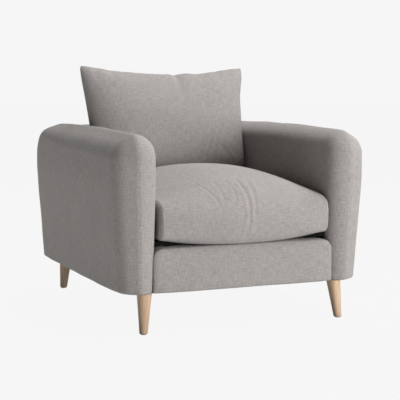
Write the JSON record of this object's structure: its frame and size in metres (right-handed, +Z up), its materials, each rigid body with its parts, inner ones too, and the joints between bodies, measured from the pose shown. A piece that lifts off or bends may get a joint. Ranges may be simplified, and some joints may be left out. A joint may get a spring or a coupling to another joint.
{
  "type": "upholstered armchair",
  "caption": "Low-backed upholstered lounge armchair with rounded arms, a loose crowned seat cushion, a loose knife-edge back cushion and splayed oak legs.",
  "frame": {"origin": "on the floor under the middle of the chair's footprint", "axes": "+Z up, the chair faces -Y, +X is to the right of someone who stands in front of it"},
  "size_m": [0.914, 0.992, 0.869],
  "materials": {
    "fabric": "matte",
    "oak": "satin",
    "softwood": "matte",
    "plywood": "matte",
    "spring_steel": "satin",
    "steel": "satin",
    "webbing": "matte",
    "deck_felt": "matte",
    "cambric": "matte",
    "nylon": "matte",
    "zip_tape": "matte",
    "zip_metal": "satin"
  },
  "bodies": {
    "chair": {"base_front_board": "plywood", "base_back_board": "plywood", "base_left_board": "plywood", "base_right_board": "plywood", "front_rail": "softwood", "back_rail": "softwood", "left_side_rail": "softwood", "right_side_rail": "softwood", "corner_block_front_left": "softwood", "corner_block_front_right": "softwood", "corner_block_rear_left": "softwood", "corner_block_rear_right": "softwood", "left_arm_front_post": "softwood", "right_arm_front_post": "softwood", "left_arm_rear_post": "softwood", "right_arm_rear_post": "softwood", "left_arm_top_rail": "softwood", "right_arm_top_rail": "softwood", "left_back_post": "softwood", "right_back_post": "softwood", "back_top_rail": "softwood", "back_lower_rail": "softwood", "seat_spring_1": "spring_steel", "seat_spring_2": "spring_steel", "seat_spring_3": "spring_steel", "seat_spring_4": "spring_steel", "spring_clips_front": "spring_steel", "spring_clips_rear": "spring_steel", "back_strap_1": "webbing", "back_strap_2": "webbing", "back_strap_3": "webbing", "seat_deck": "deck_felt", "dust_cover": "cambric", "leg_front_left": "oak", "leg_front_right": "oak", "leg_rear_left": "oak", "leg_rear_right": "oak", "leg_bolt_front_left": "steel", "leg_bolt_front_right": "steel", "leg_bolt_rear_left": "steel", "leg_bolt_rear_right": "steel", "leg_insert_front_left": "steel", "leg_insert_front_right": "steel", "leg_insert_rear_left": "steel", "leg_insert_rear_right": "steel", "glide_front_left": "nylon", "glide_front_right": "nylon", "glide_rear_left": "nylon", "glide_rear_right": "nylon", "left_arm_upholstery": "fabric", "right_arm_upholstery": "fabric", "front_rail_upholstery": "fabric", "inside_back_upholstery": "fabric", "outside_back_panel": "fabric"},
    "seat_cushion": {"seat_cushion": "fabric", "seat_cushion_zip": "zip_tape"},
    "back_cushion": {"back_cushion": "fabric", "back_cushion_zip": "zip_tape"},
    "seat_zip_slider": {"seat_zip_slider": "zip_metal"},
    "back_zip_slider": {"back_zip_slider": "zip_metal"}
  },
  "joints": [
    {"name": "seat_cushion_pull", "type": "slide", "parent": "chair", "child": "seat_cushion", "axis": [0, -1, 0], "range_m": [0, 0.76]},
    {"name": "back_cushion_lift", "type": "slide", "parent": "chair", "child": "back_cushion", "axis": [0, 0, 1], "range_m": [0, 0.45]},
    {"name": "seat_zip_slide", "type": "slide", "parent": "seat_cushion", "child": "seat_zip_slider", "axis": [1, 0, 0], "range_m": [0, 0.455]},
    {"name": "back_zip_slide", "type": "slide", "parent": "back_cushion", "child": "back_zip_slider", "axis": [1, 0, 0], "range_m": [0, 0.455]}
  ]
}
